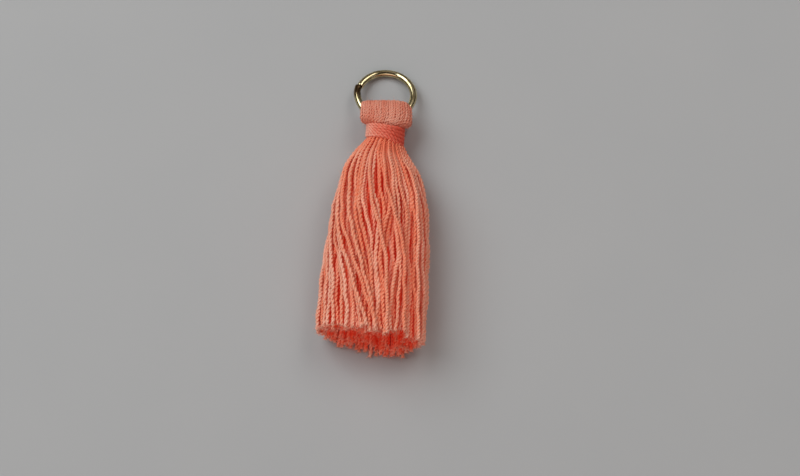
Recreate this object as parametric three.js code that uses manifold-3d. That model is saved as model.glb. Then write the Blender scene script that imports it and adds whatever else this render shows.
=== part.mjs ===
// Mini thread tassel on a jump ring, lying on its side.
//
// A bundle of thick twisted thread is folded over the ring, bound below the fold with a few turns of
// the same thread, and cut off straight, so that its ends hang as a skirt.
//
// Lengths are in millimetres and +Z is up. The pieces are drawn about the middle of the ring, with
// the skirt towards -Y and the surface that they lie on at z = 0. At the end the group is moved so
// that the middle of the part's box stands over the origin.

import * as THREE from 'three';
import { LoftGeometry } from 'three/addons/geometries/LoftGeometry.js';
import { mergeVertices } from 'three/addons/utils/BufferGeometryUtils.js';
import Module from 'manifold-3d';

// Free space between two pieces
const CLEARANCE = 0.3;

// Jump ring: round wire, its far side on the surface and its near side lifted inside the fold
const RING_OUTER = 8.0;
const WIRE = 0.9;
const RING_LIFT = 2.0;
const WIRE_SIDES = 12;
const WIRE_STEPS = 64;
const SLIT_ANGLE = 151.5;
const SLIT_WIDTH = 0.12;
const SLIT_STEP = 0.25;
const SLIT_STEP_ANGLE = 40;

// Binding: turns of thread wound tightly round the neck, a little aslant
const BINDING_RADIUS = 2.62;
const BINDING_WALL = 0.43;
const BINDING_TOP = -4.3;
const BINDING_LOW = -6.5;
const BINDING_TURNS = 5;
const BINDING_STEPS = 36;
const TURN_RELIEF = 0.08;
const THREAD_RELIEF = 0.09;
const NECK_X = 0.4;
const NECK_Z = 2.48;
const NECK_RADIUS = BINDING_RADIUS - BINDING_WALL - CLEARANCE - THREAD_RELIEF;
const LEAN = 0.25;
const SKEW = 0.07;

// Head: the fold over the ring, the neck under the binding and the collar that the skirt grows from.
// Each row is one section across the part: its place along Y on the neck's axis, its left and right
// sides, the height of its middle and its half thickness, how square it is (2 is an ellipse) and
// how far it shares the slant of the binding. The fold itself is turned a little the other way.
const HEAD_POINTS = 72;
const TUNNEL_RADIUS = 0.8;
const TUNNEL_SIDES = 10;
const TUNNEL_STEPS = 48;
const FOLD_TURN = 0.05;
const HEAD = [
  { y: -1.05, left: -2.35, right: 2.85, level: 2.45, half: 0.33, square: 3, slant: 0 },
  { y: -1.21, left: -2.60, right: 3.10, level: 2.45, half: 0.88, square: 3, slant: 0 },
  { y: -1.54, left: -2.76, right: 3.27, level: 2.45, half: 1.45, square: 3, slant: 0 },
  { y: -2.04, left: -2.82, right: 3.40, level: 2.45, half: 1.92, square: 3, slant: 0 },
  { y: -2.80, left: -2.80, right: 3.50, level: 2.45, half: 2.28, square: 3, slant: 0.1 },
  { y: -3.35, left: -2.74, right: 3.50, level: 2.45, half: 2.35, square: 2.8, slant: 0.5 },
  { y: -3.80, left: -2.62, right: 3.38, level: 2.45, half: 2.27, square: 2.6, slant: 0.9 },
  { y: -3.98, left: -2.30, right: 3.08, level: 2.46, half: 2.10, square: 2.3, slant: 1 },
  { y: BINDING_TOP + CLEARANCE, left: NECK_X - NECK_RADIUS, right: NECK_X + NECK_RADIUS,
    level: NECK_Z, half: NECK_RADIUS, square: 2, slant: 1 },
  { y: BINDING_LOW - CLEARANCE, left: NECK_X - NECK_RADIUS, right: NECK_X + NECK_RADIUS,
    level: NECK_Z, half: NECK_RADIUS, square: 2, slant: 1 },
  { y: -6.82, left: -2.25, right: 3.05, level: 2.52, half: 2.38, square: 2, slant: 1 },
  { y: -7.15, left: -2.85, right: 3.35, level: 2.60, half: 2.50, square: 2.2, slant: 1 },
  { y: -7.50, left: -3.15, right: 3.45, level: 2.70, half: 2.60, square: 2.2, slant: 1 },
];

// Skirt: strands in rounds, one inside the other, over a flattened oval that rests on the surface.
// Each row is one section of the skirt: its place along Y, its left and right sides, the heights of
// its lowest, widest and highest places, its share of the binding's slant, and how far the strands
// have gathered into locks and the loose ones have lifted and strayed there.
const SKIRT = [
  { y: -7.2, left: -2.80, right: 3.10, low: 0.25, widest: 2.68, high: 5.10,
    slant: 1, gather: 0, lift: 0, stray: 0 },
  { y: -8.5, left: -4.05, right: 3.60, low: 0.05, widest: 2.85, high: 5.90,
    slant: 0.8, gather: 0.1, lift: 0.1, stray: 0 },
  { y: -10.6, left: -4.95, right: 4.65, low: 0, widest: 3.00, high: 6.70,
    slant: 0.4, gather: 0.4, lift: 0.8, stray: 0 },
  { y: -14.5, left: -5.70, right: 5.85, low: 0, widest: 3.10, high: 7.30,
    slant: 0, gather: 0.8, lift: 1, stray: 0.15 },
  { y: -23.5, left: -6.62, right: 6.80, low: 0, widest: 3.20, high: 7.60,
    slant: 0, gather: 1, lift: 1, stray: 0.65 },
  { y: -32.5, left: -6.85, right: 6.72, low: 0, widest: 3.20, high: 7.50,
    slant: 0, gather: 0.9, lift: 1, stray: 1 },
];
const FULL_HEIGHT = 7.6;
const THREAD = 0.53;
const ROUND_STEP = 0.68;
const ROUNDS = [42, 35, 28, 21, 13];
const CORE_STRANDS = 4;
const CORE_LEVEL = 0.55;
const CORE_SPREAD = 0.7;
const FIRST_THREE_SIDED_ROUND = 3;
const OVER_ROUNDNESS = 2.2;
const UNDER_ROUNDNESS = 3;
const UNDER_PRESS = 0.12;
const OUTLINE_STEPS = 72;
const LOCKS = 6;
const LOCK_PULL = 0.006;

// Loose strands that lie across their neighbours: their number in the outer round, counted from the
// right-hand side over the top, and how far round the skirt they stray, as a share of it
const LOOSE = [
  { strand: 5, stray: 0.03 },
  { strand: 9, stray: -0.04 },
  { strand: 13, stray: -0.04 },
  { strand: 16, stray: -0.087 },
  { strand: 17, stray: -0.084 },
  { strand: 18, stray: -0.08 },
];

// Cut ends: the skirt's length over the top and at its sides, how much further it reaches below,
// where across the skirt it reaches furthest, and how the inner strands stop shorter
const CUT_TOP = 31.9;
const CUT_UNDER = 1.6;
const CUT_FURTHEST_X = 1;
const CUT_HALF_WIDTH = 6.5;
const CUT_INNER = 0.12;
const CUT_UNEVEN = 0.2;

// Points of one solid that lie closer than this are the same point
const SAME_POINT = 1e-5;

const wasm = await Module();
wasm.setup();

function solidOf(geometry) {
  const plain = new THREE.BufferGeometry();
  plain.setAttribute('position', geometry.attributes.position);
  plain.setIndex(geometry.index);
  const merged = mergeVertices(plain, SAME_POINT);
  return new wasm.Manifold(new wasm.Mesh({
    numProp: 3,
    vertProperties: new Float32Array(merged.attributes.position.array),
    triVerts: new Uint32Array(merged.index.array),
  }));
}

function geometryOf(solid) {
  const mesh = solid.getMesh();
  const geometry = new THREE.BufferGeometry();
  geometry.setAttribute('position', new THREE.BufferAttribute(mesh.vertProperties, 3));
  geometry.setIndex(new THREE.BufferAttribute(mesh.triVerts, 1));
  geometry.computeVertexNormals();
  return geometry;
}

// A signed power, for the corners of a squarish oval
function bent(value, power) {
  return Math.sign(value) * Math.abs(value) ** power;
}

// A repeatable number between -1 and 1 for each strand
function uneven(number) {
  return 2 * THREE.MathUtils.seededRandom(number + 1) - 1;
}

// How far a point is carried along Y by the slant that the binding gives the neck
function slanted(x, z, share) {
  return -share * (LEAN * (z - NECK_Z) + SKEW * (x - NECK_X));
}

// The path of the ring's wire, from one side of its slit to the other. The wire ends a little
// outside the circle at its start, because the ring was closed with a slight step.
class RingWire extends THREE.Curve {
  constructor(radius) {
    super();
    this.radius = radius;
    this.halfSlit = SLIT_WIDTH / 2 / radius;
  }

  getPoint(share, target = new THREE.Vector3()) {
    const turned = THREE.MathUtils.lerp(this.halfSlit, 2 * Math.PI - this.halfSlit, share);
    const blend = THREE.MathUtils.degToRad(SLIT_STEP_ANGLE);
    const radius = this.radius + SLIT_STEP * (1 - THREE.MathUtils.smoothstep(turned, 0, blend));
    const angle = THREE.MathUtils.degToRad(SLIT_ANGLE) + turned;
    return target.set(radius * Math.cos(angle), radius * Math.sin(angle), 0);
  }
}

const ringRadius = (RING_OUTER - WIRE) / 2;
const ringTilt = Math.asin(RING_LIFT / (2 * ringRadius));
const ringHeight = WIRE / 2 + RING_LIFT / 2;

// The wire's section is turned so that one of its flats lies on the surface at the ring's far side
function makeJumpRing() {
  const halfSide = Math.PI / WIRE_SIDES;
  const corner = WIRE / 2 / Math.cos(halfSide);
  const section = new THREE.Shape();
  for (let i = 0; i < WIRE_SIDES; i += 1) {
    const angle = -ringTilt + (2 * i + 1) * halfSide;
    const place = [corner * Math.cos(angle), corner * Math.sin(angle)];
    if (i === 0) section.moveTo(...place);
    else section.lineTo(...place);
  }
  const geometry = new THREE.ExtrudeGeometry(section, {
    steps: WIRE_STEPS,
    bevelEnabled: false,
    extrudePath: new RingWire(ringRadius),
  });
  const gold = new THREE.MeshStandardMaterial({ color: 0xcdb06a, roughness: 0.2, metalness: 1 });
  const ring = new THREE.Mesh(geometry, gold);
  ring.name = 'jump_ring';
  ring.rotation.x = -ringTilt;
  ring.position.z = ringHeight;
  return ring;
}

// The binding is a short sleeve with one ridge for each turn. It is pressed flat where it lies on
// the surface.
function makeBinding() {
  const length = BINDING_TOP - BINDING_LOW;
  const pitch = length / BINDING_TURNS;
  const inner = BINDING_RADIUS - BINDING_WALL;
  const profile = [new THREE.Vector2(inner, 0)];
  profile.push(new THREE.Vector2(BINDING_RADIUS - TURN_RELIEF, 0));
  for (let turn = 0; turn < BINDING_TURNS; turn += 1) {
    profile.push(new THREE.Vector2(BINDING_RADIUS, (turn + 0.5) * pitch));
    profile.push(new THREE.Vector2(BINDING_RADIUS - TURN_RELIEF, (turn + 1) * pitch));
  }
  profile.push(new THREE.Vector2(inner, length));
  profile.push(profile[0].clone());
  const geometry = new THREE.LatheGeometry(profile, BINDING_STEPS);
  geometry.translate(NECK_X, BINDING_LOW, NECK_Z);
  const place = geometry.attributes.position;
  for (let i = 0; i < place.count; i += 1) {
    const x = place.getX(i);
    const z = Math.max(place.getZ(i), 0);
    place.setXYZ(i, x, place.getY(i) + slanted(x, z, 1), z);
  }
  const wound = new THREE.MeshStandardMaterial({ color: 0xee8468, roughness: 0.65, metalness: 0 });
  const binding = new THREE.Mesh(geometry, wound);
  binding.name = 'neck_binding';
  return binding;
}

// One section of the head, with a ridge at every second point for the threads that run through it
function headSection(row) {
  const middle = (row.left + row.right) / 2;
  const halfWidth = (row.right - row.left) / 2;
  const outline = new THREE.Path();
  for (let i = 0; i <= OUTLINE_STEPS; i += 1) {
    const angle = i / OUTLINE_STEPS * 2 * Math.PI;
    const x = middle + halfWidth * bent(Math.cos(angle), 2 / row.square);
    const z = row.level + row.half * bent(Math.sin(angle), 2 / row.square);
    if (i === 0) outline.moveTo(x, z);
    else outline.lineTo(x, z);
  }
  const points = [];
  for (let i = 0; i < HEAD_POINTS; i += 1) {
    const share = (i + 0.5) / HEAD_POINTS;
    const at = outline.getPoint(share);
    const along = outline.getTangent(share);
    const relief = i % 2 === 0 ? THREAD_RELIEF : 0;
    const x = at.x + relief * along.y;
    const z = at.y - relief * along.x;
    const turn = FOLD_TURN * (x - NECK_X) * (1 - row.slant);
    points.push(new THREE.Vector3(x, row.y + turn + slanted(x, z, row.slant), z));
  }
  return points;
}

// The head with a tunnel through its fold for the ring's wire
function makeHead() {
  const head = new LoftGeometry(HEAD.map(headSection), { capStart: true, capEnd: true });
  const tunnel = new THREE.TorusGeometry(ringRadius, TUNNEL_RADIUS, TUNNEL_SIDES, TUNNEL_STEPS);
  tunnel.rotateX(-ringTilt);
  tunnel.translate(0, 0, ringHeight);
  return solidOf(head).subtract(solidOf(tunnel));
}

// The closed line of one round's strands at a section, inset from the skirt's outline there
function roundPath(row, inset) {
  const middle = (row.left + row.right) / 2;
  const halfWidth = (row.right - row.left) / 2 - inset;
  const over = row.high - row.widest - inset;
  const under = Math.max(row.widest - row.low - inset, 0);
  const floor = row.widest - under;
  const outline = new THREE.Path();
  for (let i = 0; i <= OUTLINE_STEPS; i += 1) {
    const angle = i / OUTLINE_STEPS * 2 * Math.PI;
    const above = angle <= Math.PI;
    const power = 2 / (above ? OVER_ROUNDNESS : UNDER_ROUNDNESS);
    const reach = above ? over : under + UNDER_PRESS;
    const x = middle + halfWidth * bent(Math.cos(angle), power);
    const z = Math.max(row.widest + reach * bent(Math.sin(angle), power), floor);
    if (i === 0) outline.moveTo(x, z);
    else outline.lineTo(x, z);
  }
  return outline;
}

// Where a strand is cut off: level with its neighbours, further out below than over the top
function cutPlace(x, z, round, number) {
  const under = 1 - z / FULL_HEIGHT;
  const across = 1 - ((x - CUT_FURTHEST_X) / CUT_HALF_WIDTH) ** 2;
  return -(CUT_TOP + CUT_UNDER * under * across - CUT_INNER * round + CUT_UNEVEN * uneven(number));
}

// A flat section of a strand with its first side square to the skirt's outline
function strandSection(x, y, z, along, thick, sides) {
  const corner = sides === 4 ? thick / Math.SQRT2 : thick / Math.sqrt(3);
  const points = [];
  for (let i = 0; i < sides; i += 1) {
    const angle = (2 * i + 1) * Math.PI / sides;
    const out = corner * Math.cos(angle);
    const side = corner * Math.sin(angle);
    points.push(new THREE.Vector3(x + out * along.y + side * along.x, y, z - out * along.x + side * along.y));
  }
  return points;
}

// One strand of a round, from inside the collar to its cut end
function makeStrand(round, index, number, looseStray) {
  const count = ROUNDS[round];
  const sides = round < FIRST_THREE_SIDED_ROUND ? 4 : 3;
  const lifted = looseStray === 0 ? 0 : 1;
  const sections = SKIRT.map((row, rowNumber) => {
    const size = (row.high - row.low) / FULL_HEIGHT;
    const thick = THREAD * size;
    const inset = thick / 2 + (round - lifted * row.lift) * ROUND_STEP * size;
    const even = (index + 0.5) / count;
    const gathered = LOCK_PULL * row.gather * Math.sin(2 * Math.PI * LOCKS * even + round);
    const share = (even + gathered + looseStray * row.stray + 1) % 1;
    const path = roundPath(row, inset);
    const at = path.getPoint(share);
    const along = path.getTangent(share);
    const reach = thick / 2 * (Math.abs(along.x) + Math.abs(along.y));
    const z = Math.max(at.y, reach);
    const cut = rowNumber === SKIRT.length - 1;
    const y = cut ? cutPlace(at.x, z, round, number) : row.y + slanted(at.x, z, row.slant);
    return strandSection(at.x, y, z, along, thick, sides);
  });
  return new LoftGeometry(sections, { capStart: true, capEnd: true });
}

// One strand of the flat row at the middle of the skirt
function makeCoreStrand(index, number) {
  const along = new THREE.Vector2(1, 0);
  const sections = SKIRT.map((row, rowNumber) => {
    const size = (row.high - row.low) / FULL_HEIGHT;
    const thick = THREAD * size;
    const innerWidth = row.right - row.left - thick - 2 * ROUNDS.length * ROUND_STEP * size;
    const share = index / (CORE_STRANDS - 1) - 0.5;
    const x = (row.left + row.right) / 2 + share * CORE_SPREAD * innerWidth;
    const z = row.widest + CORE_LEVEL * size;
    const cut = rowNumber === SKIRT.length - 1;
    const y = cut ? cutPlace(x, z, ROUNDS.length, number) : row.y + slanted(x, z, row.slant);
    return strandSection(x, y, z, along, thick, 3);
  });
  return new LoftGeometry(sections, { capStart: true, capEnd: true });
}

// The whole bundle: head, neck, collar and strands in one piece
function makeTassel() {
  let tassel = makeHead();
  let number = 0;
  ROUNDS.forEach((count, round) => {
    for (let index = 0; index < count; index += 1) {
      const loose = round === 0 ? LOOSE.find((entry) => entry.strand === index) : undefined;
      tassel = tassel.add(solidOf(makeStrand(round, index, number, loose ? loose.stray : 0)));
      number += 1;
    }
  });
  for (let index = 0; index < CORE_STRANDS; index += 1) {
    tassel = tassel.add(solidOf(makeCoreStrand(index, number)));
    number += 1;
  }
  const coral = new THREE.MeshStandardMaterial({ color: 0xf39377, roughness: 0.7, metalness: 0 });
  const mesh = new THREE.Mesh(geometryOf(tassel), coral);
  mesh.name = 'thread_tassel';
  return mesh;
}

const part = new THREE.Group();
part.add(makeJumpRing(), makeBinding(), makeTassel());
const box = new THREE.Box3().setFromObject(part, true);
const middle = box.getCenter(new THREE.Vector3());
part.position.set(-middle.x, -middle.y, -box.min.z);

export default part;
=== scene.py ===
import math

import bpy
import numpy as np
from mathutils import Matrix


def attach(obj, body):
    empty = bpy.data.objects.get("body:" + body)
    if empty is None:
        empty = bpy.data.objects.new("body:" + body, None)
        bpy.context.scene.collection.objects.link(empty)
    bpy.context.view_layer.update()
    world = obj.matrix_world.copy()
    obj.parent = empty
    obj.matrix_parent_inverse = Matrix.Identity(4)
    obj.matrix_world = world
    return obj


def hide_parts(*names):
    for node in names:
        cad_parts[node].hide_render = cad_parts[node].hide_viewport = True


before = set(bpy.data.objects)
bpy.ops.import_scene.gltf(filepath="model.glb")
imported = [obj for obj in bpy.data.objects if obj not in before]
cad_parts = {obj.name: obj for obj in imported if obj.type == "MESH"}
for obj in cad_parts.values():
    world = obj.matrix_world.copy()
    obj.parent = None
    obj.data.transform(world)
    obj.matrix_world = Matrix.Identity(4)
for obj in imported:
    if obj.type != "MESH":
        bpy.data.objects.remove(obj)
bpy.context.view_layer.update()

# Mini thread tassel on a jump ring, lying on its side on a pale surface.
#
# Lengths are in millimetres, drawn about the middle of the ring seen from above, with the skirt
# towards -Y and the surface at z = 0. laid() carries them to the frame, in metres.

# Jump ring: one turn of round brass wire, plated pale gold and polished. Its two cut ends are pushed
# together with a slight step, and it leans, its near side lifted inside the fold of threads.
RING_PLACE = (0.0199, 14.8155)
RING_RADIUS = 3.55
WIRE = 0.9
RING_LIFT = 2.0
RING_SHIFT = 0.18
# The slit: its place round the ring and its width, and the step between its ends, which dies away
# over an angle along the wire. Angles are in degrees.
SLIT_ANGLE = 161
SLIT_WIDTH = 0.07
SLIT_STEP = 0.16
SLIT_STEP_ANGLE = 40
# The wire's mesh, and the worn edge of its cut ends
WIRE_SIDES = 32
WIRE_STEPS = 260
WIRE_EDGE = 0.05
EDGE_ROUNDING = 0.35
# The plate: its colours and the dark brown of a painted dark reflection, how dull and how bright it
# gets, its film and swells in patches a metre, its draw lines round the wire and along it, and how far
# from the slit the painted dark reflection runs
FILMED_GOLD = (0.42, 0.35, 0.18)
CLEAR_GOLD = (0.76, 0.665, 0.40)
PAINTED_DARK_GOLD = (0.16, 0.10, 0.045)
DULL, BRIGHT = 0.18, 0.07
FILM_PATCHES = 900
SWELL_PATCHES = 620
DRAW_LINES = (40, 0.6, 1)
DARK_REFLECTION_RUN = 2.3
MM = 0.001

ring_tilt = math.asin(RING_LIFT / (2 * RING_RADIUS))
ring_height = WIRE / 2 + RING_LIFT / 2


def laid(points):
    """Points in millimetres about the ring's middle, in the frame's metres."""
    return (np.asarray(points) + (*RING_PLACE, 0)) * MM


def smoothstep(value, low, high):
    """A smooth change from 0 to 1 as a value goes from low to high."""
    share = np.clip((value - low) / (high - low), 0, 1)
    return share * share * (3 - 2 * share)


def ring_wire():
    """Rings of points along the wire, from one side of the slit to the other."""
    half_slit = SLIT_WIDTH / 2 / RING_RADIUS
    turned = np.linspace(half_slit, 2 * math.pi - half_slit, WIRE_STEPS + 1)
    edge = WIRE_EDGE / RING_RADIUS
    turned = np.concatenate([turned[:1], turned[:1] + edge / 3, turned[:1] + edge, turned[2:-2],
                             turned[-1:] - edge, turned[-1:] - edge / 3, turned[-1:]])
    thick = np.ones(len(turned)) * WIRE / 2
    thick[[0, -1]] -= WIRE_EDGE
    thick[[1, -2]] -= WIRE_EDGE * EDGE_ROUNDING
    step = SLIT_STEP * (1 - smoothstep(turned, 0, math.radians(SLIT_STEP_ANGLE)))
    around = RING_RADIUS + step
    angle = math.radians(SLIT_ANGLE) + turned
    outward = np.stack([np.cos(angle), np.sin(angle), np.zeros(len(angle))], 1)
    side = np.linspace(0, 2 * math.pi, WIRE_SIDES, endpoint=False)
    out = (thick[:, None] * np.cos(side))[:, :, None] * outward[:, None, :]
    up = (thick[:, None] * np.sin(side))[:, :, None] * np.array([0, 0, 1.0])
    rings = (around[:, None] * outward)[:, None, :] + out + up
    lean = np.array([[1, 0, 0],
                     [0, math.cos(ring_tilt), math.sin(ring_tilt)],
                     [0, -math.sin(ring_tilt), math.cos(ring_tilt)]])
    return rings @ lean.T + (0, RING_SHIFT, ring_height), turned * RING_RADIUS


def tube_mesh(name, tubes):
    """One object made of many tubes with closed ends. Each tube is its rings of points, the length run
    along it at each ring, and its own tone from 0 to 1, random and in places carrying painted shade and
    highlight, which the materials read."""
    places, corners, totals, smooth, runs, tones = [], [], [], [], [], []
    first = 0
    for rings, run, tone in tubes:
        count, sides = rings.shape[:2]
        number = np.arange(count * sides).reshape(count, sides) + first
        onward = np.roll(number, -1, 1)
        quads = np.stack([number[:-1], onward[:-1], onward[1:], number[1:]], -1).reshape(-1, 4)
        around = (np.arange(sides + 1) / sides)[None, :, None]
        u = np.stack([around[:, :-1], around[:, 1:], around[:, 1:], around[:, :-1]], -1)[:, :, 0]
        u = np.broadcast_to(u, (count - 1, sides, 4)).reshape(-1, 4)
        v = np.stack([run[:-1], run[:-1], run[1:], run[1:]], -1)[:, None, :]
        v = np.broadcast_to(v, (count - 1, sides, 4)).reshape(-1, 4)
        places.append(rings.reshape(-1, 3))
        corners += [quads.reshape(-1), number[0, ::-1], number[-1]]
        totals += [np.full(len(quads), 4), np.array([sides, sides])]
        smooth += [np.ones(len(quads), bool), np.zeros(2, bool)]
        runs += [np.stack([u.reshape(-1), v.reshape(-1)], -1),
                 np.tile([0.5, run[0]], (sides, 1)), np.tile([0.5, run[-1]], (sides, 1))]
        tones.append(np.repeat(np.broadcast_to(tone, count), sides))
        first += count * sides
    places, corners = laid(np.concatenate(places)), np.concatenate(corners)
    totals, smooth = np.concatenate(totals), np.concatenate(smooth)
    mesh = bpy.data.meshes.new(name)
    mesh.vertices.add(len(places))
    mesh.vertices.foreach_set("co", places.astype(np.float32).reshape(-1))
    mesh.loops.add(len(corners))
    mesh.loops.foreach_set("vertex_index", corners.astype(np.int32))
    mesh.polygons.add(len(totals))
    mesh.polygons.foreach_set("loop_start", (np.cumsum(totals) - totals).astype(np.int32))
    mesh.update(calc_edges=True)
    mesh.polygons.foreach_set("use_smooth", smooth)
    run_map = mesh.uv_layers.new(name="thread_run")
    run_map.uv.foreach_set("vector", np.concatenate(runs).astype(np.float32).reshape(-1))
    tone = mesh.attributes.new("thread_tone_and_painted_shade", "FLOAT", "POINT")
    tone.data.foreach_set("value", np.concatenate(tones).astype(np.float32))
    mesh.validate()
    piece = bpy.data.objects.new(name, mesh)
    bpy.context.scene.collection.objects.link(piece)
    return piece


def finish_of(name):
    """A new material: its nodes, its links and its shader."""
    material = bpy.data.materials.new(name)
    material.use_nodes = True
    nodes, links = material.node_tree.nodes, material.node_tree.links
    return material, nodes, links, nodes["Principled BSDF"]


def run_of(nodes, links, stretch):
    """The share of the way round a wire or thread and the run along it, first stretched for patches
    that follow them, then as they are, X and Y."""
    run = nodes.new("ShaderNodeUVMap")
    run.uv_map = "thread_run"
    stretched = nodes.new("ShaderNodeMapping")
    stretched.inputs["Scale"].default_value = stretch
    links.new(run.outputs["UV"], stretched.inputs["Vector"])
    plain = nodes.new("ShaderNodeSeparateXYZ")
    links.new(run.outputs["UV"], plain.inputs["Vector"])
    return stretched.outputs["Vector"], plain.outputs


def patches(nodes, links, place, scale, detail, roughness=0.5):
    """Soft random patches over a surface."""
    noise = nodes.new("ShaderNodeTexNoise")
    noise.inputs["Scale"].default_value = scale
    noise.inputs["Detail"].default_value = detail
    noise.inputs["Roughness"].default_value = roughness
    links.new(place, noise.inputs["Vector"])
    return noise.outputs["Fac"]


def colour_steps(nodes, links, value, steps):
    """A colour that goes with a value, through steps that are each a value and a colour."""
    ramp = nodes.new("ShaderNodeValToRGB")
    elements = ramp.color_ramp.elements
    for number, (position, colour) in enumerate(steps):
        element = elements[number] if number < 2 else elements.new(position)
        element.position = position
        element.color = (*colour, 1)
    links.new(value, ramp.inputs["Fac"])
    return ramp.outputs["Color"]


def relief(nodes, links, height, strength, depth, over=None):
    """Fine relief from patches, a depth in metres, laid over another relief if one is given."""
    bump = nodes.new("ShaderNodeBump")
    bump.inputs["Strength"].default_value = strength
    bump.inputs["Distance"].default_value = depth
    links.new(height, bump.inputs["Height"])
    if over is not None:
        links.new(over, bump.inputs["Normal"])
    return bump.outputs["Normal"]


def gold_plate():
    """Pale gold plate, polished, with faint draw lines along the wire and a duller film in places. On one
    side of the slit a painted dark reflection turns it dark brown along the wire."""
    material, nodes, links, shader = finish_of("pale gold plate")
    shader.inputs["Metallic"].default_value = 1
    place = nodes.new("ShaderNodeTexCoord").outputs["Object"]
    drawn, run = run_of(nodes, links, DRAW_LINES)
    film = patches(nodes, links, place, FILM_PATCHES, 3)
    plated = colour_steps(nodes, links, film, [(0.35, FILMED_GOLD), (0.62, CLEAR_GOLD)])
    # Painted dark reflection: next to the slit the plate is painted dark brown along the wire.
    dark_reflection_reach = nodes.new("ShaderNodeMapRange")
    dark_reflection_reach.interpolation_type = "SMOOTHSTEP"
    dark_reflection_reach.inputs["From Min"].default_value = DARK_REFLECTION_RUN
    dark_reflection_reach.inputs["From Max"].default_value = DARK_REFLECTION_RUN / 2
    links.new(run["Y"], dark_reflection_reach.inputs["Value"])
    dark_reflection_mix = nodes.new("ShaderNodeMix")
    dark_reflection_mix.data_type = "RGBA"
    dark_reflection_mix.inputs["B"].default_value = (*PAINTED_DARK_GOLD, 1)
    links.new(dark_reflection_reach.outputs["Result"], dark_reflection_mix.inputs["Factor"])
    links.new(plated, dark_reflection_mix.inputs["A"])
    links.new(dark_reflection_mix.outputs["Result"], shader.inputs["Base Color"])
    gloss = nodes.new("ShaderNodeMapRange")
    gloss.inputs["To Min"].default_value = DULL
    gloss.inputs["To Max"].default_value = BRIGHT
    links.new(film, gloss.inputs["Value"])
    links.new(gloss.outputs["Result"], shader.inputs["Roughness"])
    lines = relief(nodes, links, patches(nodes, links, drawn, 1, 2), 0.12, 0.00002)
    swells = patches(nodes, links, place, SWELL_PATCHES, 1)
    links.new(relief(nodes, links, swells, 0.8, 0.00012, lines), shader.inputs["Normal"])
    return material


wire_rings, wire_run = ring_wire()
jump_ring = tube_mesh("jump_ring_wire", [(wire_rings, wire_run, 0.5)])
jump_ring.data.materials.append(gold_plate())
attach(jump_ring, "root")
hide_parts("jump_ring")

# Head: thick twisted thread folded over the ring, drawn in to a neck for the binding. Each loop of
# thread runs up the front, over the ring's wire and down the back, in layers, one inside another.
#
# Each row is one place on a loop's middle line in the outer layer: its place along Y, how far it
# stands from the head's middle, the head's left and right sides there, how square the head is across
# (2 is round) and its share of the slant that the binding gives the neck
HEAD_WAY = [
    (-1.17, 0.00, -2.84, 3.02, 3.0, 0.0),
    (-1.21, 0.34, -2.90, 3.10, 3.0, 0.0),
    (-1.37, 0.80, -2.98, 3.28, 3.0, 0.0),
    (-1.70, 1.30, -3.03, 3.44, 3.0, 0.0),
    (-2.16, 1.72, -3.03, 3.50, 3.0, 0.0),
    (-2.85, 2.02, -3.04, 3.58, 3.0, 0.1),
    (-3.45, 2.12, -3.04, 3.56, 2.9, 0.5),
    (-3.90, 2.13, -3.02, 3.32, 2.7, 0.9),
    (-4.14, 2.06, -2.82, 2.92, 2.4, 1.0),
    (-4.30, 1.95, -2.30, 2.70, 2.1, 1.0),
    (-4.46, 1.88, -1.80, 2.30, 2.0, 1.0),
    (-5.60, 1.86, -1.76, 2.26, 2.0, 1.0),
]
# The row over the wire, whose width the columns of thread share out, the height of the head's middle,
# and how near the outermost columns come to its edges
OVER_WIRE = 2
HEAD_COLUMNS = 22
HEAD_LEVEL = 2.45
HEAD_EDGE = 0.93
# The slant: the middle of the neck, and how far the slant carries it along Y for its height and for
# its place across
NECK_X = 0.4
NECK_Z = 2.48
LEAN = 0.25
SKEW = 0.09
# The layers: their spacing, the room that the wire takes up inside them, how far behind the wire they
# begin and end to close up, and how closely the innermost one closes
LAYER_STEP = 0.42
WIRE_ROOM = 0.66
CLOSING = (0.2, 1.7)
INNERMOST = 0.35
# The fold: its slope across, and how far its shoulders droop, the left one less than the right one
FOLD_TURN = 0.045
FOLD_CROWN = 0.55
LEFT_SHOULDER = 0.7
SHOULDER_POWER = 6
# The head's thread: its thickness, how it varies, how far its plies stand out, how it is pressed
# together, and its tones. It wanders a little, least in the outermost columns, in two waves across
# and one along Y, in radians a millimetre.
HEAD_THREAD = 0.43
HEAD_THREAD_UNEVEN = 0.06
HEAD_SPREAD = 0.88
HEAD_SQUASH = (1.04, 0.92)
HEAD_TONES = (0.33, 0.67)
HEAD_WANDER = 0.035
HEAD_WAVES = (1.3, 2.9, 2.1)
EDGE_STEADY = 0.7
# The spacing of points along the thread and the sides of a ply, in the outer layer and in the others
HEAD_STEPS = (0.14, 0.22)
HEAD_SIDES = (7, 5)
# Twist of the thread: two plies laid round each other, leaning to the right. The run of a full turn,
# the thickness of a ply and how far it stands out are shares of the thread's thickness. The run varies
# from thread to thread, and the shift keeps the fibre of one ply unlike that of the other.
PLIES = 2
PLY_RUN = 2.1
PLY_RUN_UNEVEN = 0.22
PLY_THICK = 0.70
PLY_OUT = 0.33
PLY_SHIFT = 7
# A wave along a thread starts up to this many radians off
WAVE_START = 3
# A painted red glow, which the thread gives off though it is no lamp, and the dye, which is uneven in
# patches a metre.
# The fibre's patches are counted round a ply and along it.
PAINTED_RED_GLOW = 0.05
DYE_PATCHES = 420
FIBRE_PATCHES = (8, 3.6, 1)


def slanted(x, z, share):
    """How far a point is carried along Y by the slant that the binding gives the neck."""
    return -share * (LEAN * (z - NECK_Z) + SKEW * (x - NECK_X))


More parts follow.
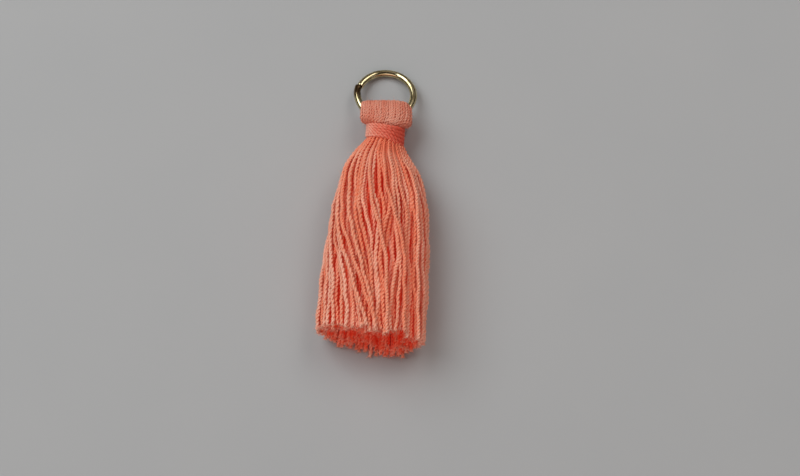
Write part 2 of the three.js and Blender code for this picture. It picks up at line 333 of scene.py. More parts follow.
def smooth_curve(at, values, where):
    """A smooth curve through values at the given places, read off at other places."""
    at, values = np.asarray(at, float), np.asarray(values, float)
    gaps = np.diff(at)
    slopes = np.diff(values, axis=0) / gaps[:, None]
    lean = np.empty_like(values)
    lean[0], lean[-1] = slopes[0], slopes[-1]
    before, after = gaps[:-1, None], gaps[1:, None]
    lean[1:-1] = (slopes[:-1] * after + slopes[1:] * before) / (before + after)
    part = np.clip(np.searchsorted(at, where, "right") - 1, 0, len(gaps) - 1)
    t = ((where - at[part]) / gaps[part])[:, None]
    span = gaps[part][:, None]
    return ((1 + 2 * t) * (1 - t) ** 2 * values[part] + t * (1 - t) ** 2 * span * lean[part]
            + t * t * (3 - 2 * t) * values[part + 1] - t * t * (1 - t) * span * lean[part + 1])


def run_along(line):
    """The length run at each point of a line."""
    return np.concatenate([[0], np.cumsum(np.linalg.norm(np.diff(line, axis=0), axis=1))])


def smooth_way(knots, step):
    """Points a step apart along a smooth curve through the knots, and the length run at each."""
    at = run_along(knots)
    line = smooth_curve(at, knots, np.linspace(0, at[-1], max(int(at[-1] / step) * 4, 8) + 1))
    run = run_along(line)
    even = np.linspace(0, run[-1], max(int(run[-1] / step), 2) + 1)
    return np.stack([np.interp(even, run, line[:, axis]) for axis in range(3)], 1), even


def across_way(way, reference):
    """Two directions across the way at each point, the first as near to the reference as can be."""
    heading = np.gradient(way, axis=0)
    heading /= np.linalg.norm(heading, axis=1)[:, None]
    side = np.asarray(reference, float) - heading * (heading @ reference)[:, None]
    side /= np.linalg.norm(side, axis=1)[:, None]
    return side, np.cross(heading, side)


def twisted(way, run, thick, start, tone, sides, reference=(1, 0, 0), spread=1, squash=(1, 1)):
    """The plies of one twisted thread along its way. thick is its thickness at each point, start is
    where its twist starts, sides are those of a ply, spread is how far the plies stand out from its
    middle, in shares of the usual, and squash is how wide and how high it is pressed."""
    full_turn = PLY_RUN * np.max(thick) * (1 + PLY_RUN_UNEVEN * math.sin(5 * start))
    side, over = across_way(way, reference)
    thick = np.broadcast_to(thick, len(way))
    rim = np.linspace(0, 2 * math.pi, sides, endpoint=False)
    out = PLY_OUT * thick / 2 * spread
    ply_half = PLY_THICK * thick[:, None] / 2
    plies = []
    for ply in range(PLIES):
        turn = start + 2 * math.pi * (ply / PLIES + run / full_turn)
        rim_turn = rim[None, :] + turn[:, None]
        a = squash[0] * ((out * np.cos(turn))[:, None] + ply_half * np.cos(rim_turn))
        b = squash[1] * ((out * np.sin(turn))[:, None] + ply_half * np.sin(rim_turn))
        rings = way[:, None, :] + a[:, :, None] * side[:, None, :] + b[:, :, None] * over[:, None, :]
        rings[:, :, 2] = np.maximum(rings[:, :, 2], 0)
        plies.append((rings, run + PLY_SHIFT * ply, tone))
    return plies


def head_loop(across, depth, layers, uneven):
    """The way of one loop, which lies across the head from -1 to 1 and so many loops deep."""
    y, half, left, right, square, slant = np.array(HEAD_WAY).T
    x = (left + right) / 2 + ((right - left) / 2 - HEAD_THREAD / 2) * across
    half = half * (1 - (HEAD_EDGE * abs(across)) ** square) ** (1 / square)
    wire_x = x[OVER_WIRE]
    wire_y = -math.sqrt(RING_RADIUS ** 2 - wire_x ** 2) * math.cos(ring_tilt) + RING_SHIFT
    least = min(WIRE_ROOM / (y[0] - wire_y), 1)
    keep = 1 - (1 - least) * depth / max(layers - 1, 1)
    behind = smoothstep(y, wire_y - CLOSING[0], wire_y - CLOSING[1])
    packed = (layers - depth - INNERMOST) / (layers - INNERMOST)
    half = half * (keep * (1 - behind) + packed * behind)
    y = np.where(y > wire_y, wire_y + (y - wire_y) * keep, y)
    front = np.stack([x, y, HEAD_LEVEL + half], 1)
    back = np.stack([x, y, HEAD_LEVEL - half], 1)
    loop = np.concatenate([front[::-1], back[1:]])
    share = np.concatenate([slant[::-1], slant[1:]])
    loop[:, 1] += slanted(loop[:, 0], loop[:, 2], share)
    droop = FOLD_CROWN * max(across, -LEFT_SHOULDER * across) ** SHOULDER_POWER
    loop[:, 1] += (FOLD_TURN * (loop[:, 0] - NECK_X) - droop) * (1 - share)
    loop[:, 2] = np.maximum(loop[:, 2], HEAD_THREAD / 2)
    way, run = smooth_way(loop, HEAD_STEPS[depth > 0])
    wander = HEAD_WANDER * (1 - EDGE_STEADY * across ** 4)
    waves = [np.sin(length * run + WAVE_START * start) for length, start in zip(HEAD_WAVES, uneven)]
    way[:, 0] += wander * (waves[0] + waves[1])
    way[:, 1] += 0.5 * wander * waves[2]
    return way, run


def coral_thread(name, deep, fresh, worn, painted_glow, sheen=0.06):
    """Coral thread: soft twisted fibre with a low silky gloss, its dye a little uneven, with painted
    shade in the grooves between the plies, painted highlights on their crests and a faint painted red
    glow."""
    material, nodes, links, shader = finish_of(name)
    shader.inputs["Roughness"].default_value = 0.46
    shader.inputs["Specular IOR Level"].default_value = 0.3
    shader.inputs["Sheen Weight"].default_value = sheen
    shader.inputs["Sheen Roughness"].default_value = 0.4
    shader.inputs["Sheen Tint"].default_value = (1, 0.62, 0.52, 1)
    # Painted glow: the thread gives off a little red light though it is no lamp, in place of the light
    # that bounces between the threads.
    shader.inputs["Emission Color"].default_value = (1, 0.04, 0.015, 1)
    shader.inputs["Emission Strength"].default_value = painted_glow
    spun, run = run_of(nodes, links, FIBRE_PATCHES)
    fibre = patches(nodes, links, spun, 1, 4, 0.65)
    place = nodes.new("ShaderNodeTexCoord").outputs["Object"]
    dye = patches(nodes, links, place, DYE_PATCHES, 2)
    tone_and_painted_shade = nodes.new("ShaderNodeAttribute")
    tone_and_painted_shade.attribute_name = "thread_tone_and_painted_shade"
    # Painted highlight and shade: paler on the outermost side of each ply, deeper in the grooves between
    # them.
    turned = nodes.new("ShaderNodeMath")
    turned.operation = "MULTIPLY"
    turned.inputs[1].default_value = 2 * math.pi
    links.new(run["X"], turned.inputs[0])
    painted_crest_highlight = nodes.new("ShaderNodeMath")
    painted_crest_highlight.operation = "COSINE"
    links.new(turned.outputs["Value"], painted_crest_highlight.inputs[0])
    shade = None
    for source, amount in ((tone_and_painted_shade.outputs["Fac"], 0.38), (dye, 0.32), (fibre, 0.50),
                           (painted_crest_highlight.outputs["Value"], 0.06)):
        added = nodes.new("ShaderNodeMath")
        added.operation = "MULTIPLY_ADD"
        added.inputs[1].default_value = amount
        added.inputs[2].default_value = 0
        links.new(source, added.inputs[0])
        if shade is not None:
            links.new(shade, added.inputs[2])
        shade = added.outputs["Value"]
    dyed = colour_steps(nodes, links, shade, [(0.40, deep), (0.60, fresh), (0.80, worn)])
    links.new(dyed, shader.inputs["Base Color"])
    links.new(relief(nodes, links, fibre, 0.8, 0.00006), shader.inputs["Normal"])
    return material


chance = np.random.default_rng(7)
head_threads, head_ways = [], []
for column in range(HEAD_COLUMNS):
    across = 2 * column / (HEAD_COLUMNS - 1) - 1
    left, right = HEAD_WAY[OVER_WIRE][2:4]
    at_x = (left + right) / 2 + across * (right - left - HEAD_THREAD) / 2
    room = HEAD_WAY[0][0] + math.sqrt(RING_RADIUS ** 2 - at_x ** 2) * math.cos(ring_tilt) - RING_SHIFT
    layers = 1 + max(1, round((room - WIRE_ROOM) / LAYER_STEP))
    for depth in range(layers):
        uneven = chance.uniform(-1, 1, 4)
        way, run = head_loop(across, depth, layers, uneven)
        start, tone = chance.uniform(0, 2 * math.pi), chance.uniform(*HEAD_TONES)
        head_threads += twisted(way, run, HEAD_THREAD * (1 + HEAD_THREAD_UNEVEN * uneven[3]), start,
                                tone, HEAD_SIDES[depth > 0], spread=HEAD_SPREAD, squash=HEAD_SQUASH)
        if depth == 0:
            head_ways.append(way)
head = tube_mesh("folded_head", head_threads)
# Painted shade: the head's colours are set deeper than the skirt's, for the fewer highlights of its
# packed thread.
head.data.materials.append(coral_thread("coral folded thread", (0.65, 0.15, 0.083), (0.69, 0.26, 0.17),
                                        (0.76, 0.395, 0.29), PAINTED_RED_GLOW))
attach(head, "root")
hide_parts("thread_tassel")

# Binding: one end of the same thread wound tightly round the neck, five turns side by side and a
# little aslant, the loose end pulled back under the turns. It is pressed flat on the surface, and on
# the right-hand side its lower turns have slipped down and lie slack, so that the thread is fuller.
#
# Its middle, its top and low edges, and its thread, which is squashed wide and pressed on the surface
BINDING_RADIUS = 2.50
BINDING_X = 0.2
BINDING_TOP = -4.3
BINDING_LOW = -6.5
BINDING_TURNS = 5
BINDING_THREAD = 0.44
BINDING_SPREAD = 0.9
BINDING_SQUASH = (1.22, 0.94)
BINDING_PRESS = 0.9
BINDING_SIDES = 8
TURN_STEPS = 72
# The turns start at this angle, in degrees. Their ends go on for part of a turn, where they are tucked
# in, and the first and last turns lie level for part of one.
START_ANGLE = 250
TAIL_TURN = 0.35
TUCK_DEPTH = 0.35
LEVEL_TURN = 0.2
# The turns waver a little in and out and along Y
WAVER_OUT = 0.02
WAVER_ALONG = 0.03
# The tone halfway, how much painted shade changes it round the neck, and the angle, in radians, where the
# painted shade is deepest, on the right-hand side away from the window
BINDING_TONE = 0.55
ROUND_PAINTED_SHADE = 0.75
SHADED_SIDE_ANGLE = 0.5
# How far the lowest turn has slipped, between which places across, and how much fuller it is there
BINDING_SLIP = 0.65
SLIP_SIDE = (0.2, 2.4)
BINDING_SLACK = 0.26


def slipped(x, share):
    """How far a point on the right-hand side is carried along Y with the turns that slipped."""
    return -share * BINDING_SLIP * smoothstep(x, *SLIP_SIDE)


pitch = (BINDING_TOP - BINDING_LOW) / BINDING_TURNS
turns = np.linspace(-TAIL_TURN, BINDING_TURNS + TAIL_TURN,
                    int((BINDING_TURNS + 2 * TAIL_TURN) * TURN_STEPS))
tucked = np.minimum(smoothstep(turns, -TAIL_TURN, 0.0),
                    smoothstep(turns, BINDING_TURNS + TAIL_TURN, BINDING_TURNS))
angle = math.radians(START_ANGLE) - 2 * math.pi * turns
radius = BINDING_RADIUS - BINDING_THREAD / 2 - TUCK_DEPTH * (1 - tucked)
radius += WAVER_OUT * np.sin(5 * angle + turns)
x = BINDING_X + radius * np.cos(angle)
z = NECK_Z + radius * np.sin(angle)
level = np.clip(turns, LEVEL_TURN, BINDING_TURNS - LEVEL_TURN)
along = level * (BINDING_TURNS - 1) / BINDING_TURNS + 0.5
y = BINDING_TOP - pitch * along + WAVER_ALONG * np.sin(3 * angle + 2 * turns) + slanted(x, z, 1)
y += slipped(x, smoothstep(turns, 0, BINDING_TURNS))
binding_way = np.stack([x, y, np.maximum(z, BINDING_THREAD / 2 * BINDING_PRESS)], 1)
binding_size = BINDING_THREAD * (1 + BINDING_SLACK * smoothstep(x, *SLIP_SIDE))
# Painted shade: the binding is deeper on its right-hand side, which turns away from the light under the
# head.
binding_shaded_tone = BINDING_TONE - ROUND_PAINTED_SHADE * np.cos(angle - SHADED_SIDE_ANGLE)
binding = tube_mesh("binding_turns", twisted(binding_way, run_along(binding_way), binding_size, 0,
                                             binding_shaded_tone, BINDING_SIDES, reference=(0, 1, 0),
                                             spread=BINDING_SPREAD, squash=BINDING_SQUASH))
binding.data.materials.append(coral_thread("coral binding thread", (0.69, 0.105, 0.06),
                                           (0.80, 0.235, 0.15), (0.89, 0.42, 0.31), PAINTED_RED_GLOW))
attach(binding, "root")
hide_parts("neck_binding")

# Skirt: the cut ends of the folded thread, spread in rounds one inside the other over a flattened oval
# that rests on the surface. Neighbours cling together in locks, and a few strands lie across others.
#
# Each row is one section of the skirt: its place along Y, its left and right sides, the heights of its
# lowest, widest and highest places, its share of the binding's slant, and how far the strands have
# gathered into locks and the loose ones have lifted and strayed there
SKIRT = [
    (-6.0, -1.78, 2.58, 0.28, 2.50, 4.66, 1.0, 0.0, 0.0, 0.0),
    (-7.2, -2.62, 3.20, 0.25, 2.68, 5.10, 1.0, 0.0, 0.0, 0.0),
    (-8.5, -3.62, 3.95, 0.05, 2.85, 5.90, 0.8, 0.1, 0.1, 0.0),
    (-10.6, -4.60, 4.98, 0.00, 3.00, 6.70, 0.4, 0.4, 0.8, 0.0),
    (-12.5, -5.15, 5.58, 0.00, 3.05, 7.05, 0.2, 0.6, 0.9, 0.05),
    (-14.5, -5.56, 5.95, 0.00, 3.10, 7.30, 0.0, 0.8, 1.0, 0.18),
    (-23.5, -6.50, 6.60, 0.00, 3.20, 7.60, 0.0, 1.0, 1.0, 0.65),
    (-32.5, -6.82, 6.56, 0.00, 3.20, 7.50, 0.0, 0.9, 1.0, 1.0),
]
# More sections under the binding, those from its low edge to the cut, and the height at which the
# strands have their full thickness
UNDER_BINDING = (-6, -6.6)
SECTIONS = 24
FULL_HEIGHT = 7.6
THREAD = 0.51
# The strands of each round, from the outer one inwards, and how unevenly those of the inner rounds lie
ROUNDS = [60, 52, 42, 34, 26, 20]
ROUND_STEP = 0.48
INNER_UNEVEN = 0.45
# The oval: how round it is above and below its widest place (2 is round), and how much of its
# underside is pressed flat
OVER_ROUNDNESS = 2.2
UNDER_ROUNDNESS = 3
UNDER_PRESS = 0.12
OUTLINE_STEPS = 144

skirt_y = np.array([row[0] for row in SKIRT])
section_y = np.concatenate([UNDER_BINDING, np.linspace(SKIRT[1][0], SKIRT[-1][0], SECTIONS)])
sections = smooth_curve(-skirt_y, SKIRT, -section_y)


def bent(value, power):
    """A signed power, for the corners of a squarish oval."""
    return np.sign(value) * np.abs(value) ** power


def round_place(section, inset, share):
    """Where a share of the way round one round of strands lies, at a section of the skirt."""
    left, right, low, widest, high = section[1:6]
    half_width = (right - left) / 2 - inset
    over = high - widest - inset
    under = max(widest - low - inset, 0)
    angle = np.linspace(0, 2 * math.pi, OUTLINE_STEPS + 1)
    above = angle <= math.pi
    power = np.where(above, 2 / OVER_ROUNDNESS, 2 / UNDER_ROUNDNESS)
    reach = np.where(above, over, under + UNDER_PRESS)
    x = (left + right) / 2 + half_width * bent(np.cos(angle), power)
    z = np.maximum(widest + reach * bent(np.sin(angle), power), widest - under)
    run = np.concatenate([[0], np.cumsum(np.hypot(np.diff(x), np.diff(z)))])
    return np.interp(share % 1 * run[-1], run, x), np.interp(share % 1 * run[-1], run, z)


# Loose strands: their number in the outer round, from the right-hand side over the top, how far round
# the skirt they stray, and the places along Y between which they do so
LOOSE = {
    7: (0.03, -12, -24),
    14: (-0.055, -14, -22),
    18: (-0.040, -15.5, -22.5),
    23: (-0.070, -18, -30),
    25: (-0.105, -18.5, -31),
    26: (-0.100, -19, -31.5),
    45: (0.06, -13, -24),
    54: (-0.05, -15, -26),
}
CLOSING_RUN = (17, 26)


def closed_up(deep, index, y):
    """A strand's share of the way round. Where the loose strands have left, the rest have closed up."""
    count = ROUNDS[deep]
    even = (index + 0.5) / count
    if deep or index in LOOSE:
        return even
    left = sum(number < index for number in LOOSE)
    closed = (index - left + 0.5) / (count - len(LOOSE))
    return even + (closed - even) * smoothstep(-y, *CLOSING_RUN)


# Partings where a deeper round shows: their share of the way round, place along Y, half length, and
# how far they push the strands of the outer and of the second round aside. Where the push is below 0
# they close a gap.
PARTINGS = [
    (0.284, -13.0, 2.9, 0.015, 0.013), (0.2925, -19.0, 2.4, 0.009, 0.008),
    (0.210, -21.8, 3.2, 0.012, 0.006), (0.395, -29.0, 3.2, 0.007, 0.003),
    (0.150, -14.2, 2.6, 0.008, 0.004), (0.302, -26.5, 3.2, 0.012, 0.006),
    (0.265, -18.0, 2.0, 0.004, 0.000), (0.085, -28.0, 2.6, 0.005, 0.002),
    (0.175, -30.0, 2.2, 0.002, 0.001), (0.640, -24.0, 4.0, 0.008, 0.004),
    (0.830, -20.0, 4.0, 0.007, 0.004), (0.940, -26.0, 3.0, 0.007, 0.004),
    (0.070, -15.5, 3.5, 0.007, 0.004), (0.060, -23.0, 3.0, 0.007, 0.004),
    (0.389, -17.8, 2.6, -0.009, 0.000), (0.452, -21.0, 3.0, -0.010, 0.000),
    (0.223, -28.6, 2.8, -0.008, 0.000), (0.2706, -15.6, 2.0, 0.018, 0.000),
    (0.2815, -15.6, 2.0, 0.000, 0.013),
]
PARTING_REACH = 0.026


def parted(share, y, deep):
    """How far the partings push a strand of the outer or the second round along the outline."""
    push = 0
    for middle, at_y, half_length, *amount in PARTINGS:
        off = (share - middle) / PARTING_REACH
        push += amount[deep] * off * math.exp(0.5 - off * off / 2 - ((y - at_y) / half_length) ** 2)
    return push


# The cut: a place across the skirt, and how far down its over and under strands reach there
CUT = [
    (-6.8, 30.9, 31.4), (-5.8, 31.3, 31.9), (-4.3, 31.75, 32.5), (-2.5, 31.85, 33.0), (-0.2, 32.1, 33.5),
    (1.5, 32.3, 33.75), (3.2, 32.0, 33.65), (4.4, 32.15, 33.3), (5.6, 32.5, 32.5), (6.8, 32.5, 32.2),
]
# Hollows in the cut, where inner strands are shorter: their place across and up, reach and depth.
# Each round is also a little shorter than the one outside it, and the strands are cut unevenly.
CUT_HOLLOWS = [(-2.4, 4.7, 1.2, 0.9), (1.8, 4.9, 1.5, 1.1), (-5.0, 3.6, 0.9, 0.6), (4.3, 4.2, 0.8, 0.6)]
CUT_INNER = 0.08
CUT_UNEVEN = 0.42


def cut_place(x, z, deep, uneven):
    """Where a strand is cut off: level with its neighbours, further down below than over the top."""
    across, over, under = zip(*CUT)
    over, under = np.interp(x, across, over), np.interp(x, across, under)
    height = z / FULL_HEIGHT
    short = sum(depth * math.exp(-((x - at_x) ** 2 + (z - at_z) ** 2) / reach ** 2)
                for at_x, at_z, reach, depth in CUT_HOLLOWS)
    level = over * height + under * (1 - height)
    return -(level - CUT_INNER * deep + CUT_UNEVEN * uneven - short * (deep > 0))


# Strands gather into locks, which are waves in their spacing round the skirt
LOCKS = 6
LOCK_PULL = 0.0035
SPACING_UNEVEN = 0.0025
# Each strand of the two outer rounds lies a little higher or lower than the next and wanders sideways.
# Every second one is pressed in at the neck, where it is squeezed thinner, and down the right-hand
# side, whose place and reach are shares of the way round. The neck's share of each comes after it.
RISE, NECK_RISE = 0.42, 0.5
SIDE_SINK, NECK_SIDE_SINK = 1.0, 0.4
SIDE_PLACE = 0.045
SIDE_REACH = 0.07
NECK_SINK = 0.55
NECK_THICK = (1.04, 0.80)
ROAM = 0.010
ROAM_RUN, ROAM_RUN_UNEVEN = 2.2, 0.5
# How far the strands of a round drift round the skirt towards the right-hand side, in waves
DRIFT = (0.066, 0.035, 0)
DRIFT_WAVES = 3
DRIFT_UNEVEN = 0.3
DRIFT_START = 0.1


def strand_knots(deep, index, loose, uneven):
    """The points that a strand of one round passes through, from under the binding to its cut end, and
    its thickness there as a share of the full one."""
    places, sizes = [], []
    round_wave = (index + 0.5) / ROUNDS[deep] * DRIFT_WAVES + DRIFT_START
    lag = 1 + DRIFT_UNEVEN * math.sin(2 * math.pi * round_wave)
    for section in sections:
        y, low, high = section[0], section[3], section[5]
        slant, gather, lift, stray = section[6:]
        even = closed_up(deep, index, y)
        size = (high - low) / FULL_HEIGHT
        sunk = index % 2
        raised = RISE * uneven[3] * (gather + NECK_RISE * slant) - NECK_SINK * slant * sunk
        raised *= deep < 2
        at_side = math.exp(-((even - stray * DRIFT[0] - SIDE_PLACE) / SIDE_REACH) ** 2)
        raised -= SIDE_SINK * at_side * (gather + NECK_SIDE_SINK * slant) * sunk * (deep == 0)
        raised += INNER_UNEVEN * uneven[3] * (1 - slant) * (deep > 1)
        if loose:
            raised = lift
        inset = THREAD * size / 2 + (deep - raised) * ROUND_STEP * size
        lock = LOCK_PULL * math.sin(2 * math.pi * LOCKS * even + deep)
        share = even + gather * (lock + SPACING_UNEVEN * uneven[7])
        share -= stray * DRIFT[min(deep, 2)] * lag
        share += INNER_UNEVEN / ROUNDS[deep] * uneven[4] * (1 - slant) * (deep > 1)
        if loose:
            share += loose[0] * min(max((loose[1] - y) / (loose[1] - loose[2]), 0), 1)
        elif deep < 2:
            roam_run = ROAM_RUN + ROAM_RUN_UNEVEN * uneven[1]
            share += gather * ROAM * math.sin(-y / roam_run + WAVE_START * uneven[2]) * uneven[4]
            share += parted(share, y, deep)
        x, z = round_place(section, inset, share)
        z = max(z, THREAD * size / 2)
        places.append((x, y + slanted(x, z, slant) + slipped(x, slant), z))
        sizes.append(size * (1 + (NECK_THICK[sunk] - 1) * slant))
    places[-1] = (x, cut_place(x, z, deep, uneven[6]), z)
    return np.array(places), sizes


# Two flat rows fill the middle of the skirt: their strands, their heights over its widest place, how
# much of the room inside the rounds they take up, and how unevenly they lie across and up
CORE_STRANDS = 13
CORE_LEVELS = (0.25, 1.0)
CORE_SPREAD = 0.95
CORE_UNEVEN = (0.5, 0.2)


def core_knots(index, uneven):
    """The same for a strand of the two flat rows."""
    places, sizes = [], []
    for section in sections:
        y, left, right, low, widest, high, slant = section[:7]
        size = (high - low) / FULL_HEIGHT
        inner = right - left - THREAD * size - 2 * (len(ROUNDS) + 1) * ROUND_STEP * size
        across = (index + CORE_UNEVEN[0] * uneven[1]) / (CORE_STRANDS - 1) - 0.5
        x = (left + right) / 2 + across * CORE_SPREAD * inner
        z = widest + (CORE_LEVELS[index % 2] + CORE_UNEVEN[1] * uneven[2]) * size
        places.append((x, y + slanted(x, z, slant), z))
        sizes.append(size)
    places[-1] = (x, cut_place(x, z, len(ROUNDS), uneven[7]), z)
    return np.array(places), sizes


# A strand's thickness varies and is pressed a little flat on the surface. Where it runs free it waves
# sideways, in long waves and short ones, and up and down: how far, and in what length.
THREAD_UNEVEN = 0.09
LAID_PRESS = 0.92
FREE_RUN = (2, 12)
SIDE_WAVE, SIDE_WAVE_RUN = 0.06, 5
SHORT_WAVE, SHORT_WAVE_RUN, SHORT_WAVE_UNEVEN = 0.03, 2.3, 0.4
LIFT_WAVE, LIFT_WAVE_RUN = 0.05, 4.4
# Its plies stand out more at the neck, and come apart and thin out over the last bit before the cut
NECK_SPREAD = 0.6
NECK_RUN = (1, 7)
SPLAY_RUN = 1.1
SPLAY, SPLAY_UNEVEN = 0.55, 0.3
CUT_TAPER = 0.35
# Painted shade makes the thread deeper where the binding presses it, and a painted highlight makes it
# paler where it is cut
PRESSED_PAINTED_SHADE = 0.5
PRESSED_SHADE_RUN = (0.3, 3.6)
CUT_PAINTED_HIGHLIGHT = 0.4


def strand(knots, sizes, step, sides, uneven, tone):
    """The plies of one strand and its way."""
    way, run = smooth_way(knots, step)
    size = np.interp(-way[:, 1], -knots[:, 1], sizes)
    free = smoothstep(run, *FREE_RUN)
    side_run, short_run = SIDE_WAVE_RUN + uneven[1], SHORT_WAVE_RUN + SHORT_WAVE_UNEVEN * uneven[0]
    way[:, 0] += free * (
        SIDE_WAVE * np.sin(2 * math.pi * run / side_run + WAVE_START * uneven[2])
        + SHORT_WAVE * np.sin(2 * math.pi * run / short_run + WAVE_START * uneven[5]))
    lift_run = LIFT_WAVE_RUN + uneven[3]
    way[:, 2] += LIFT_WAVE * free * np.sin(2 * math.pi * run / lift_run + WAVE_START * uneven[4])
    last = np.clip(1 - (run[-1] - run) / SPLAY_RUN, 0, 1)
    thick = THREAD * size * (1 + THREAD_UNEVEN * uneven[0])
    way[:, 2] = np.maximum(way[:, 2], thick / 2 * LAID_PRESS)
    splay = (SPLAY + SPLAY_UNEVEN * uneven[5]) * last ** 2
    spread = 1 + splay + NECK_SPREAD * (1 - smoothstep(run, *NECK_RUN))
    # Painted shade under the binding and a painted highlight on the cut end, both carried in the tone.
    tone = tone - PRESSED_PAINTED_SHADE * (1 - smoothstep(run, *PRESSED_SHADE_RUN)) + CUT_PAINTED_HIGHLIGHT * last
    plies = twisted(way, run, thick * (1 - CUT_TAPER * last ** 3), math.pi * uneven[6], tone, sides,
                    spread=spread)
    return plies, way


# The spacing of the points along a strand and the sides of its plies: in the outer round, in the
# second one and in all that lie deeper
STRAND_MESH = ((0.13, 7), (0.17, 5), (0.3, 4))

rounds, outer_ways, inner_ways = [], [], []
for deep, count in enumerate(ROUNDS):
    threads = []
    for index in range(count):
        uneven = chance.uniform(-1, 1, 8)
        loose = LOOSE.get(index) if deep == 0 else None
        knots, sizes = strand_knots(deep, index, loose, uneven)
        plies, way = strand(knots, sizes, *STRAND_MESH[min(deep, 2)], uneven, chance.uniform(0, 1))
        threads += plies
        (inner_ways if deep else outer_ways).append(way)
    rounds.append(threads)
core = []
for index in range(CORE_STRANDS):
    uneven = chance.uniform(-1, 1, 8)
    plies, way = strand(*core_knots(index, uneven), *STRAND_MESH[2], uneven, chance.uniform(0, 1))
    core += plies
    inner_ways.append(way)

# Painted shade and glow: the deeper a round lies, the deeper its colours and the stronger its painted
# glow, for the redder light that reaches it through the others
outer_coral = coral_thread("coral skirt thread", (0.86, 0.235, 0.12), (0.89, 0.37, 0.23),
                           (0.94, 0.52, 0.38), PAINTED_RED_GLOW)
second_coral_shaded = coral_thread("coral second thread shaded", (0.85, 0.21, 0.11), (0.88, 0.32, 0.19),
                            (0.93, 0.44, 0.31), 1.5 * PAINTED_RED_GLOW)
inner_coral_shaded = coral_thread("coral inner thread shaded", (0.86, 0.10, 0.04), (0.91, 0.17, 0.08),
                           (0.95, 0.30, 0.18), 2.1 * PAINTED_RED_GLOW, sheen=0)
middle = len(rounds[0]) // 2
for name, threads, coral in (("skirt_outer_right", rounds[0][:middle], outer_coral),
                             ("skirt_outer_left", rounds[0][middle:], outer_coral),
                             ("skirt_second_round", rounds[1], second_coral_shaded),
                             ("skirt_inner_rounds", rounds[2] + rounds[3] + rounds[4], inner_coral_shaded),
                             ("skirt_core_strands", rounds[5] + core, inner_coral_shaded)):
    piece = tube_mesh(name, threads)
    piece.data.materials.append(coral)
    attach(piece, "root")
    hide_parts("thread_tassel")

# Loose fibres: the cut leaves a small brush of fibre at the end of every strand, and single hairs
# stand off the thread all over, since it is spun from short soft fibre.
#
# A brush: its fibres, how long they are and the least share of that, how thick, how far inside the
# strand they start and how far from its middle, and how far they bend
BRUSH_FIBRES = 18
BRUSH_REACH = 0.5
BRUSH_LEAST = 0.45
BRUSH_FIBRE = 0.042
BRUSH_ROOT = 0.3
BRUSH_RADII = (0.05, 0.22)
BRUSH_BEND = 0.9
# The share of the inner strands whose brush takes the paler outer colour instead of the shaded inner one,
# and how many more do so towards the left side, as painted light from the window there
UNSHADED_TUFTS = 0.3
LEFT_PAINTED_LIGHT = 0.6
LEFT_SIDE = 5
# The hairs: their number, thickness and lengths, how far from the strand's middle they start and how
# far they bend
HAIRS = 900
HAIR = 0.028
HAIR_LENGTHS = (0.4, 1.2)
HAIR_ROOT = 0.12
HAIR_BENDS = (0.3, 0.9)
FIBRE_TAPER = 0.6


def fibre(root, heading, out, length, thick):
    """A single fibre that leaves its thread and bends outward, thinner towards its tip."""
    t = np.linspace(0, 1, 4)[:, None]
    way = root + length * (heading * t + out * t * t)
    way[:, 2] = np.maximum(way[:, 2], thick / 2)
    side, over = across_way(way, np.cross(heading, out) + (0, 0, 1e-4))
    turn = np.arange(3) * 2 * math.pi / 3
    half = thick / 2 * (1 - FIBRE_TAPER * t)
    rings = way[:, None, :] + half[:, :, None] * (np.cos(turn)[None, :, None] * side[:, None, :]
                                                  + np.sin(turn)[None, :, None] * over[:, None, :])
    return rings, run_along(way), 1


def brush(way):
    """The fibres at the cut end of one strand."""
    heading = way[-1] - way[-2]
    heading /= np.linalg.norm(heading)
    fibres = []
    for index in range(BRUSH_FIBRES):
        turn = 2 * math.pi * chance.uniform()
        out = np.array([math.cos(turn), 0, math.sin(turn)])
        root = way[-1] - BRUSH_ROOT * heading + out * chance.uniform(*BRUSH_RADII)
        bend = out * chance.uniform(0, BRUSH_BEND)
        length = BRUSH_REACH * chance.uniform(BRUSH_LEAST, 1)
        fibres.append(fibre(root, heading, bend, length, BRUSH_FIBRE))
    return fibres


hairs = []
for index in range(HAIRS):
    way = (outer_ways + head_ways)[chance.integers(len(outer_ways) + len(head_ways))]
    at = chance.integers(2, len(way) - 2)
    heading = (way[at + 1] - way[at]) * chance.choice((-1, 1))
    heading /= np.linalg.norm(heading)
    out = np.cross(heading, chance.normal(size=3))
    out /= np.linalg.norm(out)
    bend, length = chance.uniform(*HAIR_BENDS), chance.uniform(*HAIR_LENGTHS)
    hairs.append(fibre(way[at] + HAIR_ROOT * out, heading, bend * out, length, HAIR))
outer_brushes, inner_brushes = [], []
for way in outer_ways:
    outer_brushes += brush(way)
for way in inner_ways:
    # Painted light: an inner brush that takes the outer colour loses its painted shade, and more do so
    # towards the lit left side.
    pale = UNSHADED_TUFTS + LEFT_PAINTED_LIGHT * smoothstep(-way[-1][0], 0, LEFT_SIDE)
    (outer_brushes if chance.uniform() < pale else inner_brushes).extend(brush(way))
for name, fibres, coral in (("outer_cut_fibres", outer_brushes, outer_coral),
                            ("inner_cut_fibres", inner_brushes, inner_coral_shaded),
                            ("loose_hairs", hairs, outer_coral)):
    piece = tube_mesh(name, fibres)
    piece.data.materials.append(coral)
    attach(piece, "root")
    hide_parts("thread_tassel")

# Table: the plain pale grey surface that the tassel was laid on, flat, satin and very slightly
# mottled. It is the floor of the picture.
TABLE_SIZE = 3.0
TABLE_MOTTLE = 60     # patches a metre


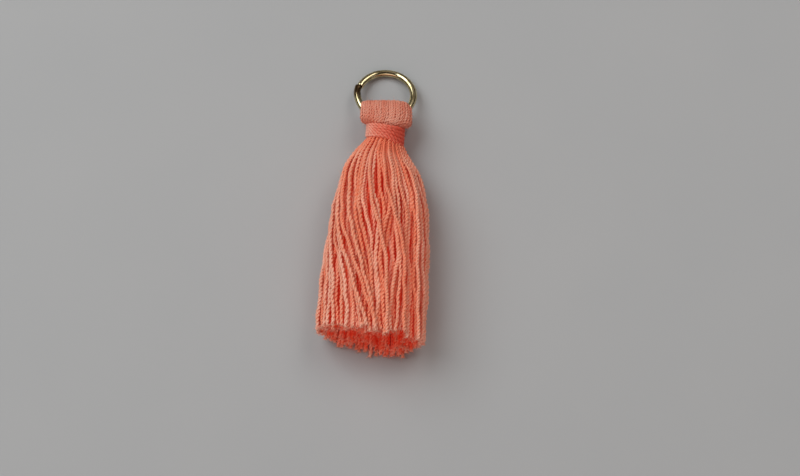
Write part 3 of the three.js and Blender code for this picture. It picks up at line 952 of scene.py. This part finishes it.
def table_paint():
    """A pale grey satin surface, very slightly mottled."""
    material, nodes, links, shader = finish_of("pale table")
    shader.inputs["Roughness"].default_value = 0.6
    place = nodes.new("ShaderNodeTexCoord").outputs["Object"]
    mottle = patches(nodes, links, place, TABLE_MOTTLE, 3)
    painted = colour_steps(nodes, links, mottle, [(0, (0.402, 0.418, 0.426)), (1, (0.426, 0.438, 0.442))])
    links.new(painted, shader.inputs["Base Color"])
    return material


half = TABLE_SIZE / 2
table = bpy.data.objects.new("table", bpy.data.meshes.new("table"))
corners = [(-half, -half, 0), (half, -half, 0), (half, half, 0), (-half, half, 0)]
table.data.from_pydata(corners, [], [(0, 1, 2, 3)])
table.data.materials.append(table_paint())
bpy.context.scene.collection.objects.link(table)

# Light: a wide window behind on the left, a smaller one behind on the right, the warm light of the
# room from the front, and pale walls, which the ring mirrors. Places and sizes are in metres.


def soft_light(name, place, size, watts, colour):
    """A square soft light that faces the tassel."""
    lamp = bpy.data.lights.new(name, "AREA")
    lamp.size = size
    lamp.energy = watts
    lamp.color = colour
    light = bpy.data.objects.new(name, lamp)
    light.location = place
    way = -np.array(place)
    light.rotation_euler = (math.acos(-way[2] / np.linalg.norm(way)), 0, math.atan2(-way[0], way[1]))
    bpy.context.scene.collection.objects.link(light)


soft_light("window", (-0.55, 0.35, 0.70), 0.74, 6.4, (0.94, 0.985, 1))
soft_light("far_window", (0.36, 0.42, 0.70), 0.42, 1.6, (1, 0.94, 0.90))
soft_light("room_fill", (-0.10, -1.40, 0.75), 1.80, 8.5, (1, 0.80, 0.74))

WALL = (0.63, 0.56, 0.53)
FLOOR_SIDE = (0.03, 0.028, 0.027)
CEILING = (0.10, 0.08, 0.07)
ROOM_LIGHT = 0.43

bpy.context.scene.view_settings.view_transform = "Standard"
room = bpy.data.worlds.new("room")
bpy.context.scene.world = room
room.use_nodes = True
nodes, links = room.node_tree.nodes, room.node_tree.links
direction = nodes.new("ShaderNodeTexCoord")
height = nodes.new("ShaderNodeSeparateXYZ")
links.new(direction.outputs["Generated"], height.inputs["Vector"])
walls = colour_steps(nodes, links, height.outputs["Z"],
                     [(0.2, FLOOR_SIDE), (0.55, WALL), (0.80, WALL), (0.94, CEILING)])
links.new(walls, nodes["Background"].inputs["Color"])
nodes["Background"].inputs["Strength"].default_value = ROOM_LIGHT

# Camera: it looks down from nearly above, a little from the tassel's right. Its shift puts the place
# that it aims at where that place is in the picture, which is 800 by 476 pixels. Angles are in degrees.
CAMERA_AZIMUTH = 3.1
CAMERA_ELEVATION = 72.0
CAMERA_DISTANCE = 230.0
CAMERA_AIM = (0.0, -15.0, 2.0)
FOCAL_PIXELS = 1842.65
AIM_PIXEL = (379.23, 206.79)
PICTURE_WIDTH = 800
PICTURE_MIDDLE = (400, 238)
SENSOR_WIDTH = 36

azimuth, elevation = math.radians(CAMERA_AZIMUTH), math.radians(CAMERA_ELEVATION)
back = np.array([math.sin(azimuth) * math.cos(elevation), -math.cos(azimuth) * math.cos(elevation),
                 math.sin(elevation)])
lens = bpy.data.cameras.new("camera")
lens.sensor_width = SENSOR_WIDTH
lens.lens = FOCAL_PIXELS / PICTURE_WIDTH * SENSOR_WIDTH
lens.shift_x = (PICTURE_MIDDLE[0] - AIM_PIXEL[0]) / PICTURE_WIDTH
lens.shift_y = (AIM_PIXEL[1] - PICTURE_MIDDLE[1]) / PICTURE_WIDTH
lens.clip_start = 0.01
camera = bpy.data.objects.new("camera", lens)
camera.location = laid(np.array(CAMERA_AIM) + CAMERA_DISTANCE * back)
camera.rotation_euler = (math.pi / 2 - elevation, 0, azimuth)
bpy.context.scene.collection.objects.link(camera)
bpy.context.scene.camera = camera
